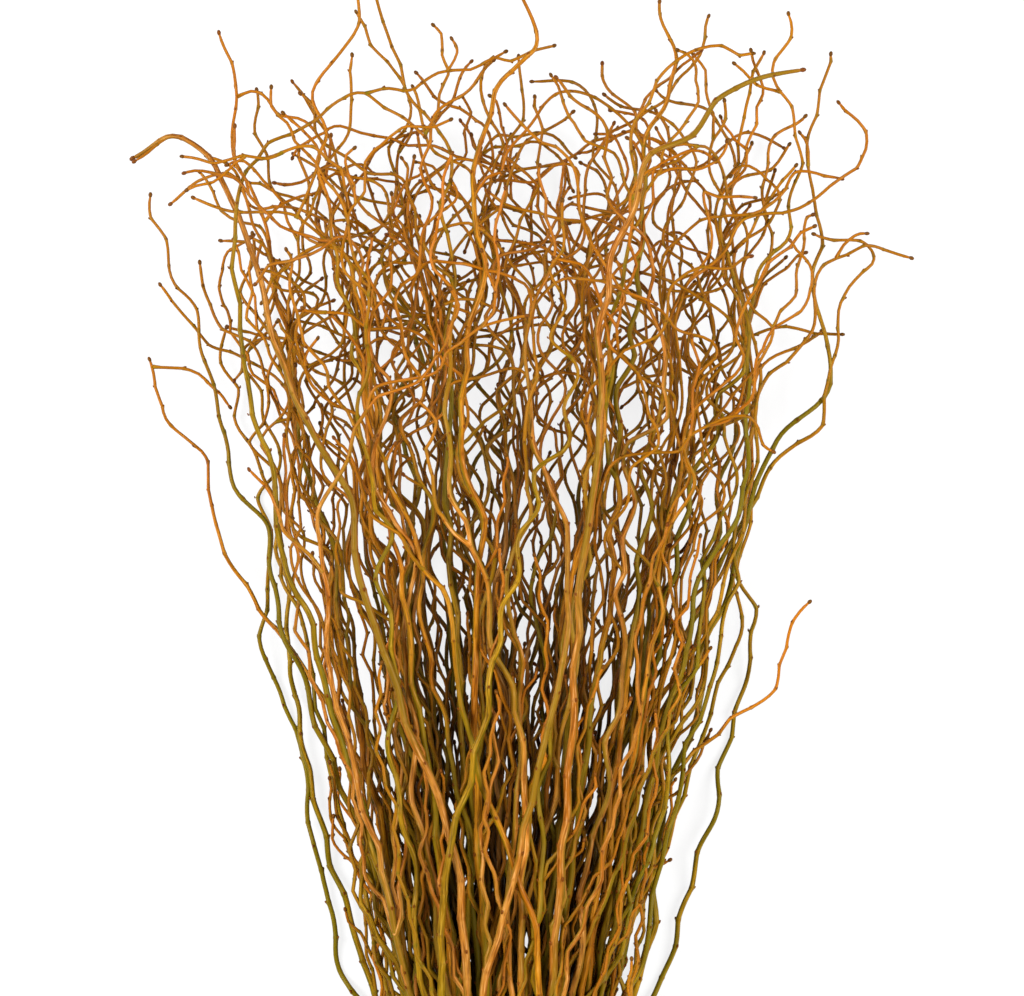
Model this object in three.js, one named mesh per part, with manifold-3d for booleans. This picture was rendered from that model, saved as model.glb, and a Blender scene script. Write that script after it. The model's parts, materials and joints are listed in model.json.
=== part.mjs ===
// A tied bunch of curly willow stems, as cut: it lies on a surface with its cut ends towards -Y
// and its tips towards +Y. Every stem is one solid: a tapering leader with one or two long forks.
// Millimetres, +Z up. The origin lies on the surface, under the middle of the bunch's own box.

import * as THREE from "three";
import { mergeVertices } from "three/addons/utils/BufferGeometryUtils.js";
import Module from "manifold-3d";

const wasm = await Module();
wasm.setup();

// ---------------------------------------------------------------- driving dimensions, in mm

const STEM_COUNT = 58;
const BUTT_RADIUS = [2.3, 3.5]; // a stem's radius at its cut end, thinnest and thickest
const TIP_RADIUS = 0.9;
const TAPER = 0.75; // under 1: a stem keeps its thickness and thins late
const BUTT_UNEVENNESS = 34; // how far apart the cut ends lie along the bunch
const BUTT_SPLAY = 0.3; // how much wider than the neck the cut ends stand, as a share

const TIE_Y = 96; // the tie's middle, from the lowest cut end
const TIE_WIDTH = 17;
const TIE_THICKNESS = 3.2;
const TIE_INNER_RADIUS = 38.5;

const LEADER_LENGTH = [880, 1140]; // from the tie to the tip, along a stem's windings
const FORK_RINGS = [4, 9]; // a fork leaves its leader at one of these rings
const TWO_FORK_RINGS = [[3, 6], [7, 11]]; // where a stem with two forks has them
const FORK_ANGLE = 0.34; // in radians
const FORK_SHARE = 0.78; // a fork's radius and length, as shares of its leader's
const FORK_LENGTH = 0.97;

const FAN_SLOPE = 0.27; // sideways spread for each mm along the bunch, at its edges
const FAN_LEAN = 0.02; // the whole fan leans a little towards +X
const FAN_ENDS = [760, 960]; // between these heights the sides of the fan become parallel
const FAN_EDGE = [190, 265]; // stems that stray this far to the side turn back
const PILE_SLOPE = 0.13; // how the pile's height grows along the bunch
const CROWN = [600, 1050]; // stems turn from gently bent to curly between these heights

const LOW_STATION = 58; // ring spacing along the straighter lower stems
const HIGH_STATION = 40; // ring spacing in the curly crown
const SIDES = 4;
const CLEARANCE = 0.6; // least gap between two stems' surfaces
const RELAX_ROUNDS = 600;

// ---------------------------------------------------------------- finishes

const finish = (color, roughness) => new THREE.MeshStandardMaterial({ color, roughness, metalness: 0 });
const BARK = {
  golden: finish(0xa8741f, 0.6),
  olive: finish(0x8c7a22, 0.6),
  tan: finish(0xb5793a, 0.62),
};
const TWINE = finish(0xb79a68, 0.95);

// ---------------------------------------------------------------- stems with a course of their own

// These stand free of the mass or lie on top of it. A course is in plan, from above the tie to the
// tip: X from the bunch's middle line, Y from the lowest cut end. Ranks say how high it lies in the
// pile, low down and at the tip: 0 is on the surface and 1 on top.
const FREE_STEMS = [
  {
    name: "stem_arching_over_left",
    bark: "tan",
    butt: 4.1,
    tip: 2.0,
    ranks: [1.0, 0.8],
    course: [[-30, 350], [-42, 480], [-86, 595], [-108, 660], [-122, 735], [-150, 815], [-182, 872],
      [-209, 948], [-225, 1010], [-246, 1054], [-280, 1076], [-314, 1062]],
  },
  {
    name: "stem_low_left",
    bark: "olive",
    butt: 3.6,
    ranks: [0.08, 0.05],
    course: [[-118, 350], [-139, 424], [-165, 493], [-169, 540], [-189, 616], [-187, 660], [-190, 715],
      [-207, 772], [-222, 830], [-234, 873], [-240, 920]],
  },
  {
    name: "stem_kinked_left",
    bark: "golden",
    butt: 3.4,
    ranks: [0.3, 0.12],
    course: [[-76, 420], [-101, 489], [-123, 545], [-165, 613], [-190, 650], [-226, 700], [-246, 748],
      [-259, 772], [-260, 810], [-296, 852], [-303, 892]],
  },
  {
    name: "stem_upper_left",
    bark: "olive",
    butt: 3.6,
    ranks: [0.45, 0.3],
    course: [[-101, 414], [-139, 527], [-176, 621], [-199, 716], [-228, 795], [-240, 840], [-258, 880],
      [-268, 930], [-299, 982], [-295, 1010], [-303, 1033]],
  },
  {
    name: "stem_tall_left",
    bark: "golden",
    butt: 3.5,
    ranks: [0.6, 0.5],
    course: [[-94, 474], [-132, 653], [-166, 814], [-188, 940], [-199, 983], [-217, 1040], [-236, 1098],
      [-232, 1133], [-243, 1157], [-239, 1168]],
  },
  {
    name: "stem_reaching_left",
    bark: "golden",
    butt: 3.5,
    ranks: [0.85, 0.85],
    course: [[-64, 551], [-94, 740], [-108, 870], [-116, 935], [-140, 988], [-175, 1003], [-213, 1016],
      [-240, 1017], [-258, 1025]],
  },
  {
    name: "stem_arching_back",
    bark: "olive",
    butt: 3.8,
    ranks: [0.7, 0.9],
    course: [[-112, 474], [-150, 600], [-180, 710], [-206, 810], [-220, 900], [-229, 985], [-221, 1040],
      [-196, 1068], [-162, 1088], [-126, 1110], [-92, 1100], [-66, 1075]],
  },
  {
    name: "stem_tall_inner_left",
    bark: "golden",
    butt: 3.5,
    ranks: [0.65, 0.7],
    course: [[-72, 560], [-100, 700], [-118, 840], [-138, 945], [-152, 1030], [-158, 1093], [-164, 1120],
      [-130, 1148], [-127, 1175], [-119, 1200]],
  },
  {
    name: "stem_tall_centre_left",
    bark: "olive",
    butt: 3.4,
    ranks: [0.75, 0.6],
    course: [[-40, 620], [-45, 800], [-44, 950], [-52, 1060], [-69, 1118], [-100, 1124], [-100, 1155],
      [-114, 1181], [-104, 1200]],
  },
  {
    name: "stem_looping_centre",
    bark: "golden",
    butt: 3.7,
    tip: 1.6,
    ranks: [0.9, 0.95],
    course: [[-28, 640], [-24, 760], [-32, 860], [-22, 945], [-27, 1015], [-18, 1085], [2, 1124],
      [30, 1150], [26, 1176], [6, 1200]],
  },
  {
    name: "stem_pale_diagonal",
    bark: "tan",
    butt: 3.6,
    ranks: [0.85, 1.08],
    course: [[-100, 440], [-140, 600], [-156, 715], [-148, 790], [-113, 852], [-80, 872], [-30, 905],
      [22, 926]],
  },
  {
    name: "stem_olive_front",
    bark: "olive",
    butt: 4.0,
    ranks: [1.06, 1.0],
    course: [[-54, 350], [-51, 440], [-43, 501], [-20, 559], [-16, 600], [0, 665], [16, 721], [32, 780],
      [54, 842], [52, 880], [40, 950], [50, 1020]],
  },
  {
    name: "stem_front_crossing_right",
    bark: "tan",
    butt: 4.1,
    ranks: [1.03, 0.9],
    course: [[-20, 350], [4, 437], [20, 501], [27, 560], [45, 605], [53, 680], [47, 751], [34, 814],
      [24, 900], [40, 990], [30, 1050]],
  },
  {
    name: "stem_front_crossing_left",
    bark: "golden",
    butt: 3.8,
    ranks: [0.98, 0.85],
    course: [[30, 350], [21, 426], [-5, 496], [-33, 574], [-42, 640], [-54, 697], [-84, 748], [-100, 820],
      [-110, 900], [-96, 980]],
  },
  {
    name: "stem_front_middle",
    bark: "tan",
    butt: 3.9,
    ranks: [0.94, 0.9],
    course: [[10, 400], [13, 517], [13, 570], [-3, 626], [-20, 690], [-38, 772], [-50, 840], [-40, 930],
      [-60, 1000], [-44, 1060]],
  },
  {
    name: "stem_low_right",
    bark: "golden",
    butt: 3.2,
    ranks: [0.45, 0.3],
    course: [[60, 350], [90, 440], [122, 508], [167, 557], [224, 604], [237, 642], [267, 682]],
  },
  {
    name: "stem_kinked_right",
    bark: "olive",
    butt: 3.7,
    ranks: [0.08, 0.06],
    course: [[113, 350], [133, 421], [130, 470], [150, 546], [173, 608], [169, 677], [181, 765],
      [206, 895], [216, 955], [200, 1030], [210, 1080]],
  },
  {
    name: "stem_outer_right",
    bark: "olive",
    butt: 3.8,
    ranks: [0.3, 0.25],
    course: [[123, 474], [138, 572], [165, 640], [200, 700], [216, 770], [248, 832], [276, 872],
      [279, 920], [266, 970], [270, 1010], [268, 1065], [263, 1110], [285, 1152]],
  },
  {
    name: "stem_looping_right",
    bark: "golden",
    butt: 3.5,
    ranks: [0.18, 0.3],
    course: [[118, 460], [140, 570], [166, 687], [196, 738], [243, 810], [281, 880], [290, 935],
      [312, 970], [296, 993], [270, 1004]],
  },
  {
    name: "stem_hooked_right",
    bark: "golden",
    butt: 3.4,
    ranks: [0.5, 0.4],
    course: [[108, 540], [128, 660], [150, 760], [175, 829], [232, 870], [262, 938], [286, 976],
      [318, 996], [343, 992], [349, 978]],
  },
  {
    name: "stem_curled_right",
    bark: "golden",
    butt: 3.5,
    ranks: [0.75, 0.55],
    course: [[92, 534], [110, 700], [126, 845], [150, 940], [206, 1004], [260, 1028], [303, 1054],
      [309, 1086], [284, 1108]],
  },
  {
    name: "stem_tall_outer_right",
    bark: "olive",
    butt: 3.5,
    ranks: [0.6, 0.5],
    course: [[104, 500], [140, 680], [184, 850], [230, 990], [252, 1055], [244, 1095], [233, 1118],
      [228, 1158], [238, 1184]],
  },
  {
    name: "stem_arching_over_right",
    bark: "tan",
    butt: 4.1,
    tip: 2.0,
    ranks: [0.95, 1.0],
    course: [[58, 590], [70, 740], [80, 890], [92, 970], [115, 1044], [152, 1077], [186, 1109],
      [202, 1121], [246, 1129]],
  },
  {
    name: "stem_tall_right",
    bark: "golden",
    butt: 3.6,
    tip: 1.5,
    ranks: [0.78, 0.7],
    course: [[70, 560], [96, 760], [108, 940], [116, 1030], [116, 1068], [136, 1104], [144, 1150],
      [132, 1191]],
  },
  {
    name: "stem_bending_right",
    bark: "olive",
    butt: 3.5,
    ranks: [0.66, 0.85],
    course: [[62, 640], [90, 860], [104, 1000], [112, 1083], [131, 1130], [156, 1150], [181, 1143],
      [209, 1146]],
  },
];

// ---------------------------------------------------------------- small helpers

let seed = 20481;
function chance() {
  seed = (seed + 0x6d2b79f5) | 0;
  let t = Math.imul(seed ^ (seed >>> 15), 1 | seed);
  t = (t + Math.imul(t ^ (t >>> 7), 61 | t)) ^ t;
  return ((t ^ (t >>> 14)) >>> 0) / 4294967296;
}
const between = (low, high) => low + (high - low) * chance();
const eitherSide = () => (chance() < 0.5 ? -1 : 1);
const { clamp, lerp, smoothstep } = THREE.MathUtils;

// ---------------------------------------------------------------- courses

const tieCentreZ = TIE_INNER_RADIUS + TIE_THICKNESS;
const neckLowY = TIE_Y - TIE_WIDTH / 2 - 4;
const neckHighY = TIE_Y + TIE_WIDTH / 2 + 4;
const pileHeight = (y) => 2 * TIE_INNER_RADIUS + PILE_SLOPE * Math.max(0, y - TIE_Y);

const WALK_STEP = 8; // a course is a row of points this far apart
const SETTLING = 90; // how soon a course leaves its first direction and height

function freeCourse(start, { course, ranks }) {
  const tipY = course[course.length - 1][1];
  const points = course.map(([x, y]) => {
    const share = smoothstep(y, 350, tipY);
    return new THREE.Vector3(x, y, lerp(...ranks, share) * pileHeight(y));
  });
  const curve = new THREE.CatmullRomCurve3([start, ...points], false, "centripetal");
  return curve.getSpacedPoints(Math.round(curve.getLength() / WALK_STEP));
}

// One sideways wave of a walked course. Its reach is an angle.
function wave(reach, length) {
  const [size, pace, phase] = [between(...reach), between(...length), between(0, 2 * Math.PI)];
  return (along) => size * Math.sin((2 * Math.PI * along) / pace + phase);
}

// A walked course fans out with its neighbours, sways from side to side, more so in the crown, and
// curls over at its tip. Its height follows its rank in the pile.
function walkedCourse(start, { heading, fan, rank, length }) {
  const slow = wave([0.04, 0.12], [230, 330]);
  const quick = wave([0.14, 0.26], [110, 165]);
  const lift = wave([3, 9], [150, 260]);
  const curl = { angle: eitherSide() * lerp(0.5, 3.4, chance() ** 1.4), length: between(140, 280) };
  const at = start.clone();
  const points = [at.clone()];
  for (let along = WALK_STEP; along <= length; along += WALK_STEP) {
    const settled = 1 - Math.exp(-along / SETTLING);
    const crown = smoothstep(at.y, ...CROWN);
    const spread = 1 - smoothstep(at.y, ...FAN_ENDS);
    const onward = Math.atan(FAN_LEAN + FAN_SLOPE * fan * spread);
    const sway = (slow(along) + quick(along)) * (1 + 1.7 * crown);
    const curling = curl.angle * clamp((along - length + curl.length) / curl.length, 0, 1) ** 1.6;
    const turnBack = -Math.sign(at.x) * 0.9 * smoothstep(Math.abs(at.x), ...FAN_EDGE);
    const angle = lerp(heading, onward + sway, settled) + curling + turnBack;
    at.x += WALK_STEP * Math.sin(angle);
    at.y += WALK_STEP * Math.cos(angle);
    at.z = lerp(start.z, rank * pileHeight(at.y) + lift(along), 1 - Math.exp(-along / (2 * SETTLING)));
    points.push(at.clone());
  }
  return points;
}

// The points of a course that become rings: wide apart low down, closer in the crown, and the tip.
function stationsOf(course) {
  const kept = [];
  let along = 0;
  let next = LOW_STATION * 0.8;
  for (let i = 1; i < course.length; i++) {
    along += course[i].distanceTo(course[i - 1]);
    if (along >= next || i === course.length - 1) {
      kept.push({ point: course[i], along });
      next = along + (course[i].y < CROWN[0] ? LOW_STATION : HIGH_STATION);
    }
  }
  const [before, tip] = kept.slice(-2);
  if (tip.along - before.along < HIGH_STATION * 0.75) kept.splice(-2, 1);
  return kept;
}

// ---------------------------------------------------------------- the whole bunch, as rings

// All ring centres, shared by the stems so that the crowding of one moves the others.
const rings = [];
function addRing(point, radius) {
  rings.push({ at: point.clone(), home: point.clone(), radius, beside: [] });
  return rings.length - 1;
}
function linkedChain(ids) {
  for (let i = 1; i < ids.length; i++) {
    rings[ids[i]].beside.push(ids[i - 1]);
    rings[ids[i - 1]].beside.push(ids[i]);
  }
  return ids;
}

// A round stem is built as a prism. This factor gives the prism the round stem's section area.
const CORNER = Math.sqrt(Math.PI / ((SIDES / 2) * Math.sin((2 * Math.PI) / SIDES)));
const taper = (from, to, share) => to + (from - to) * (1 - share) ** TAPER;

// A place in the round neck for each stem, spread as seeds are in a sunflower's head.
const GOLDEN_ANGLE = Math.PI * (3 - Math.sqrt(5));
const neckReach = TIE_INNER_RADIUS - CORNER * BUTT_RADIUS[1] - CLEARANCE;
const neckPlaces = Array.from({ length: STEM_COUNT }, (_, i) => {
  const out = neckReach * Math.sqrt((i + 0.5) / STEM_COUNT);
  return { x: out * Math.sin(i * GOLDEN_ANGLE), z: out * Math.cos(i * GOLDEN_ANGLE) };
});
function takePlaceNear(x, z) {
  const away = (place) => Math.hypot(place.x - x, place.z - z);
  const best = neckPlaces.reduce((a, b) => (away(b) < away(a) ? b : a));
  return neckPlaces.splice(neckPlaces.indexOf(best), 1)[0];
}
const aboveTie = (place) => new THREE.Vector3(place.x, neckHighY, tieCentreZ + place.z);

// A leader runs from its cut end through the tie, where it is straight, and on along its course.
function leaderOf(place, course, butt, tip) {
  const footY = between(0, BUTT_UNEVENNESS);
  const splay = 1 + BUTT_SPLAY * (1 - footY / neckLowY);
  const foot = new THREE.Vector3(place.x * splay, footY, tieCentreZ + place.z * splay);
  const low = aboveTie(place).setY(neckLowY);
  const stations = stationsOf(course);
  const whole = neckHighY + stations[stations.length - 1].along;
  const radius = (along) => taper(butt, tip, along / whole);
  const held = [addRing(foot, butt), addRing(low, radius(neckLowY))];
  held.push(addRing(aboveTie(place), radius(neckHighY)));
  const free = stations.map(({ point, along }) => addRing(point, radius(neckHighY + along)));
  return linkedChain([...held, ...free]);
}

// A fork leaves its leader at a narrow angle, towards its own place in the fan, and is nearly as long.
function forkOf(leader, fan, rank, atRings = FORK_RINGS) {
  const from = Math.floor(between(...atRings));
  const root = rings[leader[from]];
  const ahead = rings[leader[from + 1]].at.clone().sub(root.at);
  const side = fan * FAN_EDGE[1] > root.at.x + between(-40, 40) ? 1 : -1;
  const heading = Math.atan2(ahead.x, ahead.y) + side * FORK_ANGLE;
  const length = FORK_LENGTH * (between(...LEADER_LENGTH) + TIE_Y - root.at.y);
  const stations = stationsOf(walkedCourse(root.at, { heading, fan, rank, length }));
  const whole = stations[stations.length - 1].along;
  const radius = (along) => taper(FORK_SHARE * root.radius, TIP_RADIUS, along / whole);
  return linkedChain([leader[from], ...stations.map(({ point, along }) => addRing(point, radius(along)))]);
}

const stems = FREE_STEMS.map((free) => {
  const [x, y] = free.course[0];
  const fan = clamp(x / (TIE_INNER_RADIUS + (y - TIE_Y) * FAN_SLOPE), -1, 1);
  const place = takePlaceNear(fan * neckReach, (2 * free.ranks[0] - 1) * neckReach);
  const leader = leaderOf(place, freeCourse(aboveTie(place), free), free.butt, free.tip ?? TIP_RADIUS);
  const forkFan = clamp(fan * 0.8 + between(-0.3, 0.3), -0.85, 0.85);
  const rank = free.ranks[0];
  return { name: free.name, bark: free.bark, rank, chains: [leader, forkOf(leader, forkFan, rank * 0.9)] };
});

// Olive bark is commoner at the sides of the fan.
function crowdBark(fan) {
  if (chance() < 0.3 * (1 + Math.abs(fan))) return "olive";
  return chance() < 0.7 ? "golden" : "tan";
}

// The rest of the stems fan out in the order of their places in the neck.
function crowdStem(place, i) {
  const order = (2 * (i + 0.5)) / neckPlaces.length - 1;
  const fan = order * (0.7 + 0.3 * Math.abs(order)) + between(-0.15, 0.15);
  const rank = clamp(0.5 + (place.z / neckReach) * 0.5 + between(-0.08, 0.08), 0, 1);
  const length = between(...LEADER_LENGTH);
  const course = walkedCourse(aboveTie(place), { heading: 0, fan, rank, length });
  const leader = leaderOf(place, course, between(...BUTT_RADIUS), TIP_RADIUS);
  const forks = TWO_FORK_RINGS.map((atRings) => {
    const forkFan = clamp(fan + between(-0.3, 0.3), -0.85, 0.85);
    return forkOf(leader, forkFan, clamp(rank + between(-0.15, 0.15), 0, 1), atRings);
  });
  const name = `stem_${String(i + 1).padStart(2, "0")}`;
  return { name, bark: crowdBark(fan), rank, chains: [leader, ...forks] };
}
neckPlaces.sort((a, b) => a.x - b.x);
stems.push(...neckPlaces.map(crowdStem));

// ---------------------------------------------------------------- making room

// The straight lines between neighbouring rings, each with its stem and chain.
const lines = stems.flatMap(({ rank, chains }, owner) =>
  chains.flatMap((chain, order) =>
    chain.slice(1).map((id, step) => {
      const [a, b] = [rings[chain[step]], rings[id]];
      const startRadius = order && !step ? b.radius : a.radius;
      return { owner, rank, order, step, a, b, wideA: startRadius * CORNER, wideB: b.radius * CORNER };
    }),
  ),
);

// Lines that meet by nature: neighbours in a chain, and a fork's first line with its leader.
function joined(p, q) {
  if (p.owner !== q.owner) return false;
  if (p.order === q.order) return Math.abs(p.step - q.step) < 3;
  return (p.order ? p : q).step === 0;
}

// The points where two lines come closest, as shares along each, and the gap between them.
function closest(p, q) {
  const d1 = p.b.at.clone().sub(p.a.at);
  const d2 = q.b.at.clone().sub(q.a.at);
  const gap = p.a.at.clone().sub(q.a.at);
  const [a, e, b, c, f] = [d1.dot(d1), d2.dot(d2), d1.dot(d2), d1.dot(gap), d2.dot(gap)];
  const slant = a * e - b * b;
  let s = slant > 1e-9 ? clamp((b * f - c * e) / slant, 0, 1) : 0.5;
  let t = (b * s + f) / e;
  if (t < 0 || t > 1) {
    t = clamp(t, 0, 1);
    s = clamp((b * t - c) / a, 0, 1);
  }
  gap.addScaledVector(d1, s).addScaledVector(d2, -t);
  return { s, t, gap, distance: gap.length() };
}

// How two lines crowd each other, or null where they are clear.
function crowding(p, q) {
  const near = closest(p, q);
  const room = lerp(p.wideA, p.wideB, near.s) + lerp(q.wideA, q.wideB, near.t) + CLEARANCE;
  return near.distance < room ? { ...near, short: room - near.distance } : null;
}

function pushApart(p, q, { s, t, gap, distance, short }) {
  const lift = new THREE.Vector3(0, 0, p.rank > q.rank ? 1 : -1);
  const way = distance > 0.3 ? gap.divideScalar(distance) : lift;
  const weights = [1 - s, s, t - 1, -t];
  const total = weights.reduce((sum, weight) => sum + weight * weight, 0);
  [p.a, p.b, q.a, q.b].forEach((ring, i) => ring.at.addScaledVector(way, (weights[i] * short) / total));
}

function boxOf(line) {
  const wide = Math.max(line.wideA, line.wideB) + CLEARANCE;
  return new THREE.Box3().setFromPoints([line.a.at, line.b.at]).expandByScalar(wide);
}

function crowdedPairs() {
  const boxes = lines.map(boxOf);
  const order = lines.map((_, i) => i).sort((i, j) => boxes[i].min.y - boxes[j].min.y);
  const found = [];
  order.forEach((i, k) => {
    for (let m = k + 1; m < order.length && boxes[order[m]].min.y < boxes[i].max.y; m++) {
      const j = order[m];
      if (!boxes[i].intersectsBox(boxes[j]) || joined(lines[i], lines[j])) continue;
      if (crowding(lines[i], lines[j])) found.push([lines[i], lines[j]]);
    }
  });
  return found;
}

// Rings at the tie stay inside it, and every ring stays above the surface.
const neckRings = stems.flatMap(({ chains: [leader] }) => leader.slice(1, 3).map((id) => rings[id]));
function hold() {
  for (const ring of neckRings) {
    const reach = TIE_INNER_RADIUS - ring.radius * CORNER - CLEARANCE;
    const out = Math.hypot(ring.at.x, ring.at.z - tieCentreZ);
    const share = Math.min(1, reach / out);
    ring.at.x *= share;
    ring.at.z = tieCentreZ + (ring.at.z - tieCentreZ) * share;
  }
  for (const ring of rings) ring.at.z = Math.max(ring.at.z, ring.radius * CORNER * 1.1);
}

// Shares a ring's move with its neighbours, so that a stem bows instead of kinking.
function soften(share) {
  const moves = rings.map((ring) => ring.at.clone().sub(ring.home));
  rings.forEach((ring, i) => {
    const mean = new THREE.Vector3();
    for (const id of ring.beside) mean.addScaledVector(moves[id], 1 / ring.beside.length);
    ring.at.addScaledVector(mean.sub(moves[i]), share);
  });
}

for (let round = 0; round < RELAX_ROUNDS; round++) {
  const pairs = crowdedPairs();
  if (!pairs.length) break;
  for (const [p, q] of pairs) {
    const crowd = crowding(p, q);
    if (crowd) pushApart(p, q, crowd);
  }
  if (round < RELAX_ROUNDS / 2) soften(0.15);
  hold();
}

// ---------------------------------------------------------------- solids

// A tapering prism through a chain of rings, with closed ends.
function prismAlong(chain, order) {
  const points = chain.map((id) => rings[id].at);
  const radii = chain.map((id) => rings[id].radius * CORNER);
  if (order) radii[0] = radii[1];
  const steps = points.length - 1;
  const across = new THREE.Vector3(0.31, 0, 0.95);
  const frames = points.map((point, k) => {
    const tangent = points[Math.min(k + 1, steps)].clone().sub(points[Math.max(k - 1, 0)]).normalize();
    across.addScaledVector(tangent, -across.dot(tangent)).normalize();
    return { x: across.clone(), z: across.clone().cross(tangent) };
  });
  const geometry = new THREE.CylinderGeometry(1, 1, steps, SIDES, steps);
  geometry.deleteAttribute("normal");
  geometry.deleteAttribute("uv");
  const corners = geometry.getAttribute("position");
  for (let i = 0; i < corners.count; i++) {
    const k = Math.round(corners.getY(i) + steps / 2);
    const place = points[k].clone();
    place.addScaledVector(frames[k].x, corners.getX(i) * radii[k]);
    place.addScaledVector(frames[k].z, corners.getZ(i) * radii[k]);
    corners.setXYZ(i, place.x, place.y, place.z);
  }
  return mergeVertices(geometry, 1e-3);
}

function solidOf(geometry) {
  const vertProperties = new Float32Array(geometry.getAttribute("position").array);
  const triVerts = new Uint32Array(geometry.index.array);
  return new wasm.Manifold(new wasm.Mesh({ numProp: 3, vertProperties, triVerts }));
}

function geometryOf(solid) {
  const { vertProperties, triVerts } = solid.getMesh();
  return new THREE.BufferGeometry()
    .setAttribute("position", new THREE.BufferAttribute(vertProperties, 3))
    .setIndex(new THREE.BufferAttribute(triVerts, 1));
}

const stemGeometry = ({ chains }) =>
  geometryOf(chains.map(prismAlong).map(solidOf).reduce((whole, next) => whole.add(next)));

// The wound twine as one band: a lathed ring with its outer edges taken off.
const TIE_SEGMENTS = 32;
function tieGeometry() {
  const outer = TIE_INNER_RADIUS + TIE_THICKNESS;
  const half = TIE_WIDTH / 2;
  const soft = TIE_THICKNESS * 0.45;
  const outline = [
    [TIE_INNER_RADIUS, -half],
    [outer - soft, -half],
    [outer, -half + soft],
    [outer, half - soft],
    [outer - soft, half],
    [TIE_INNER_RADIUS, half],
    [TIE_INNER_RADIUS, -half],
  ];
  return new THREE.LatheGeometry(outline.map((point) => new THREE.Vector2(...point)), TIE_SEGMENTS);
}

// ---------------------------------------------------------------- the finished group

const bunch = new THREE.Group();
for (const stem of stems) {
  const mesh = new THREE.Mesh(stemGeometry(stem), BARK[stem.bark]);
  mesh.name = stem.name;
  bunch.add(mesh);
}
const tie = new THREE.Mesh(tieGeometry(), TWINE);
tie.name = "twine_tie";
tie.position.set(0, TIE_Y, tieCentreZ);
bunch.add(tie);

// The bunch is set down with its box's middle over the origin.
const box = new THREE.Box3().setFromObject(bunch);
const middle = box.getCenter(new THREE.Vector3());
bunch.position.set(-middle.x, -middle.y, -box.min.z);

export default bunch;
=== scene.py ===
# %% [markdown]
# # A tied bunch of curly willow stems
#
# Curly willow is sold as long cut stems. Each one is a piece of wood with smooth bark, one or two
# long forks, thin side twigs and small dark buds, and it winds from side to side as it grows. This
# lesson grows that detail around plain solids, which give each stem's course and thickness.

# %% Load the frame
import json
import math

import bmesh
import bpy
import numpy as np
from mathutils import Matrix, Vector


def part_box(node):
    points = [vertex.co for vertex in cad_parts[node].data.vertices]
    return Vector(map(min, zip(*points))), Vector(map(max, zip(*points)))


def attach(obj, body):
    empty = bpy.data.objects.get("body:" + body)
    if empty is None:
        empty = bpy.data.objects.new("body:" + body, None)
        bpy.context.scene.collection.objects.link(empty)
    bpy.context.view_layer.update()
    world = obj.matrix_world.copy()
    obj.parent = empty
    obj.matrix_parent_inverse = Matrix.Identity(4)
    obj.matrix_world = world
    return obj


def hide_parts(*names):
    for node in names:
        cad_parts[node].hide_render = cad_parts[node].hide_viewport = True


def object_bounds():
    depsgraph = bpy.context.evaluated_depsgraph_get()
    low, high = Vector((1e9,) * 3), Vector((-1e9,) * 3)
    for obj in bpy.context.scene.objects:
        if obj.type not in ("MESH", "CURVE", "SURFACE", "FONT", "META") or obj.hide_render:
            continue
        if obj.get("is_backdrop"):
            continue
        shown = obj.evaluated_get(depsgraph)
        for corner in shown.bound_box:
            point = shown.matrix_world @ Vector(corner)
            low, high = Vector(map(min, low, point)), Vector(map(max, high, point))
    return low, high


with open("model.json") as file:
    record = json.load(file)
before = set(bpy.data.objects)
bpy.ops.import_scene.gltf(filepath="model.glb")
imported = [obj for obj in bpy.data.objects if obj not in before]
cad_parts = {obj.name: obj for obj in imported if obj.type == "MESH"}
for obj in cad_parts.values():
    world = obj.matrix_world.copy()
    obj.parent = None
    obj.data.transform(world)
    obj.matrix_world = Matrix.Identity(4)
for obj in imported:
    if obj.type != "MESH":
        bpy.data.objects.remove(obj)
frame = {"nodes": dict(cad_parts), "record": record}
cad_low, cad_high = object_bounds()
MM = 0.001
print("solids:", len(frame["nodes"]), "box in mm:", [round(v / MM) for v in (*cad_low, *cad_high)])

# %% [markdown]
# ## Where things are
#
# Everything is placed from the twine that ties the bunch: stems run from it towards +Y and fan out.
# Measuring from the tie keeps the looks in step with the solids when the bunch is changed.

# %% The tie's middle
tie_low, tie_high = (np.array(corner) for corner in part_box("twine_tie"))
tie_middle = (tie_low + tie_high) / 2
tie_radius = (tie_high[0] - tie_low[0]) / 2
print("tie's middle in mm:", (tie_middle / MM).round(), "radius:", round(tie_radius / MM, 1))

# %% [markdown]
# ## Camera
#
# The bunch lies down, so the camera hangs above its fan and looks straight down, with the tips at
# the top of the picture. A long lens from far away keeps the near and far stems at one scale.

# %% Camera above the fan
VIEW_CENTRE = (6 * MM, 677 * MM)  # from the tie's middle
VIEW_WIDTH = 870 * MM
CAMERA_DISTANCE = 5.0
pile_middle = (cad_low.z + cad_high.z) / 2

camera = bpy.data.objects.new("camera", bpy.data.cameras.new("camera"))
camera.data.lens = camera.data.sensor_width * CAMERA_DISTANCE / VIEW_WIDTH
camera.location = (
    tie_middle[0] + VIEW_CENTRE[0],
    tie_middle[1] + VIEW_CENTRE[1],
    pile_middle + CAMERA_DISTANCE,
)
bpy.context.scene.collection.objects.link(camera)
bpy.context.scene.camera = camera
print("lens in mm:", round(camera.data.lens))

# %% [markdown]
# ## Floor and light
#
# The bunch lies on a pale, softly glowing table, as small goods do in a studio, with a wall of the
# same kind far round it. Two large soft lamps stand at its sides, as high as they are far: they light
# the outward side of each stem and leave the inside of the bunch dark. A weaker lamp beyond the cut
# ends and a faint sky fill the rest.

# %% Floor
FLOOR_SIZE = 60.0
WALL_HEIGHT = 6.0
WALL_RADIUS = 0.45 * FLOOR_SIZE
TABLE_GLOW = 0.82


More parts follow.
